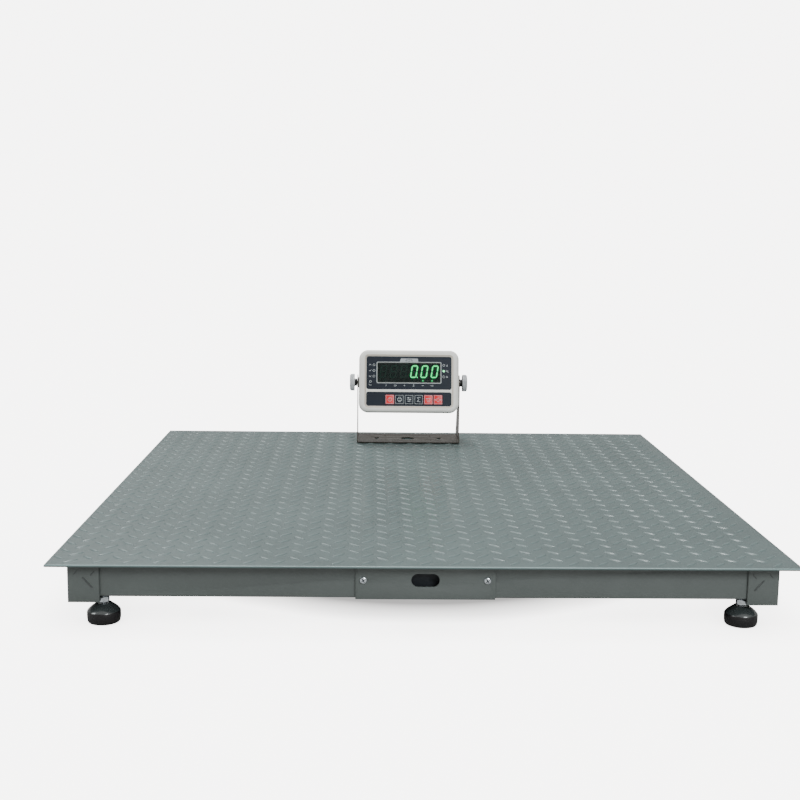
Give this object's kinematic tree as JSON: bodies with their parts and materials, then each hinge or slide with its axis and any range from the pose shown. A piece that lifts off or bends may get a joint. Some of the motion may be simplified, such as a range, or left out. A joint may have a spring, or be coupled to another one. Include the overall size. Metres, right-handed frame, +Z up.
{
  "type": "pallet scale",
  "caption": "Low square weighing platform with a raised tread deck, load cells and levelling feet, and a tilting digital indicator that stands on it.",
  "frame": {"origin": "on the floor, under the middle of the platform", "axes": "+Z up; +X to the right and +Y away, seen by a person reading the indicator's face"},
  "size_m": [1.2, 1.2, 0.3335],
  "materials": {
    "deck_paint": "grey-green hammered paint over rolled tread plate",
    "frame_paint": "grey-green paint",
    "zinc_steel": "bright zinc plate",
    "foot_plastic": "glossy black with a rubber lower band",
    "stainless": "brushed stainless sheet",
    "cell_steel": "nickel-plated alloy steel",
    "ivory_plastic": "fine texture",
    "panel_ink": "dark navy printed overlay",
    "smoked_window": "dark smoked filter",
    "red_key": "red printed key",
    "dark_key": "dark navy printed key",
    "grey_knob": "satin grey moulding",
    "black_rubber": "matt black",
    "circuit_board": "green solder mask",
    "cable_sheath": "grey-black sheath",
    "box_plastic": "light grey moulding",
    "black_plastic": "black moulding"
  },
  "bodies": {
    "platform": {"deck_plate": "deck_paint", "front_channel": "frame_paint", "rear_channel": "frame_paint", "left_channel": "frame_paint", "right_channel": "frame_paint", "stiffener_1": "frame_paint", "stiffener_2": "frame_paint", "stiffener_3": "frame_paint", "stiffener_4": "frame_paint", "corner_plate_front_left": "frame_paint", "corner_plate_rear_left": "frame_paint", "corner_plate_front_right": "frame_paint", "corner_plate_rear_right": "frame_paint", "access_cover": "frame_paint", "cover_screw_left": "zinc_steel", "cover_screw_right": "zinc_steel", "junction_box": "box_plastic", "junction_box_lid": "box_plastic", "load_cell_front_left": "cell_steel", "load_cell_rear_left": "cell_steel", "load_cell_front_right": "cell_steel", "load_cell_rear_right": "cell_steel", "cell_cable_front_left": "cable_sheath", "cell_cable_rear_left": "cable_sheath", "cell_cable_front_right": "cable_sheath", "cell_cable_rear_right": "cable_sheath", "lock_nut_front_left": "zinc_steel", "lock_nut_rear_left": "zinc_steel", "lock_nut_front_right": "zinc_steel", "lock_nut_rear_right": "zinc_steel"},
    "bracket": {"indicator_bracket": "stainless"},
    "casing": {"front_casing": "ivory_plastic", "rear_casing": "ivory_plastic", "display_overlay": "panel_ink", "display_window": "smoked_window", "key_overlay": "panel_ink", "display_board": "circuit_board", "main_board": "circuit_board", "battery": "black_plastic", "rear_cable_gland": "black_plastic", "friction_washer_left": "black_rubber", "friction_washer_right": "black_rubber"},
    "knob_left": {"clamp_knob_left": "grey_knob"},
    "knob_right": {"clamp_knob_right": "grey_knob"},
    "key_power": {"key_power": "red_key"},
    "key_print": {"key_print": "dark_key"},
    "key_function": {"key_function": "dark_key"},
    "key_total": {"key_total": "dark_key"},
    "key_tare": {"key_tare": "red_key"},
    "key_zero": {"key_zero": "red_key"},
    "foot_front_left": {"foot_pad_front_left": "foot_plastic"},
    "stud_front_left": {"foot_stud_front_left": "zinc_steel"},
    "foot_rear_left": {"foot_pad_rear_left": "foot_plastic"},
    "stud_rear_left": {"foot_stud_rear_left": "zinc_steel"},
    "foot_front_right": {"foot_pad_front_right": "foot_plastic"},
    "stud_front_right": {"foot_stud_front_right": "zinc_steel"},
    "foot_rear_right": {"foot_pad_rear_right": "foot_plastic"},
    "stud_rear_right": {"foot_stud_rear_right": "zinc_steel"}
  },
  "joints": [
    {"name": "indicator_lift", "type": "slide", "parent": "platform", "child": "bracket", "axis": [0, 0, 1], "range_m": [0, 0.3]},
    {"name": "casing_tilt", "type": "hinge", "parent": "bracket", "child": "casing", "pos_m": [0, 0.48, 0.251], "axis": [1, 0, 0], "range_deg": [-60, 60]},
    {"name": "knob_left_turn", "type": "hinge", "parent": "casing", "child": "knob_left", "pos_m": [-0.13, 0.48, 0.251], "axis": [-1, 0, 0], "range_deg": [0, 360]},
    {"name": "knob_right_turn", "type": "hinge", "parent": "casing", "child": "knob_right", "pos_m": [0.13, 0.48, 0.251], "axis": [1, 0, 0], "range_deg": [0, 360]},
    {"name": "key_power_press", "type": "slide", "parent": "casing", "child": "key_power", "axis": [0, 0.9744, -0.225], "range_m": [0, 0.0006], "stiffness_N_per_m": 3000},
    {"name": "key_print_press", "type": "slide", "parent": "casing", "child": "key_print", "axis": [0, 0.9744, -0.225], "range_m": [0, 0.0006], "stiffness_N_per_m": 3000},
    {"name": "key_function_press", "type": "slide", "parent": "casing", "child": "key_function", "axis": [0, 0.9744, -0.225], "range_m": [0, 0.0006], "stiffness_N_per_m": 3000},
    {"name": "key_total_press", "type": "slide", "parent": "casing", "child": "key_total", "axis": [0, 0.9744, -0.225], "range_m": [0, 0.0006], "stiffness_N_per_m": 3000},
    {"name": "key_tare_press", "type": "slide", "parent": "casing", "child": "key_tare", "axis": [0, 0.9744, -0.225], "range_m": [0, 0.0006], "stiffness_N_per_m": 3000},
    {"name": "key_zero_press", "type": "slide", "parent": "casing", "child": "key_zero", "axis": [0, 0.9744, -0.225], "range_m": [0, 0.0006], "stiffness_N_per_m": 3000},
    {"name": "foot_front_left_height", "type": "slide", "parent": "platform", "child": "foot_front_left", "axis": [0, 0, 1], "range_m": [-0.01, 0.004]},
    {"name": "foot_front_left_turn", "type": "hinge", "parent": "foot_front_left", "child": "stud_front_left", "pos_m": [-0.5175, -0.553, 0.03], "axis": [0, 0, 1], "range_deg": [-2060, 826]},
    {"name": "foot_rear_left_height", "type": "slide", "parent": "platform", "child": "foot_rear_left", "axis": [0, 0, 1], "range_m": [-0.01, 0.004]},
    {"name": "foot_rear_left_turn", "type": "hinge", "parent": "foot_rear_left", "child": "stud_rear_left", "pos_m": [-0.5175, 0.553, 0.03], "axis": [0, 0, 1], "range_deg": [-2060, 826]},
    {"name": "foot_front_right_height", "type": "slide", "parent": "platform", "child": "foot_front_right", "axis": [0, 0, 1], "range_m": [-0.01, 0.004]},
    {"name": "foot_front_right_turn", "type": "hinge", "parent": "foot_front_right", "child": "stud_front_right", "pos_m": [0.5175, -0.553, 0.03], "axis": [0, 0, 1], "range_deg": [-2060, 826]},
    {"name": "foot_rear_right_height", "type": "slide", "parent": "platform", "child": "foot_rear_right", "axis": [0, 0, 1], "range_m": [-0.01, 0.004]},
    {"name": "foot_rear_right_turn", "type": "hinge", "parent": "foot_rear_right", "child": "stud_rear_right", "pos_m": [0.5175, 0.553, 0.03], "axis": [0, 0, 1], "range_deg": [-2060, 826]}
  ],
  "couplings": [
    {"joint": "foot_front_left_turn", "follows": "foot_front_left_height", "rad_per_m": 3590.4},
    {"joint": "foot_rear_left_turn", "follows": "foot_rear_left_height", "rad_per_m": 3590.4},
    {"joint": "foot_front_right_turn", "follows": "foot_front_right_height", "rad_per_m": 3590.4},
    {"joint": "foot_rear_right_turn", "follows": "foot_rear_right_height", "rad_per_m": 3590.4}
  ]
}
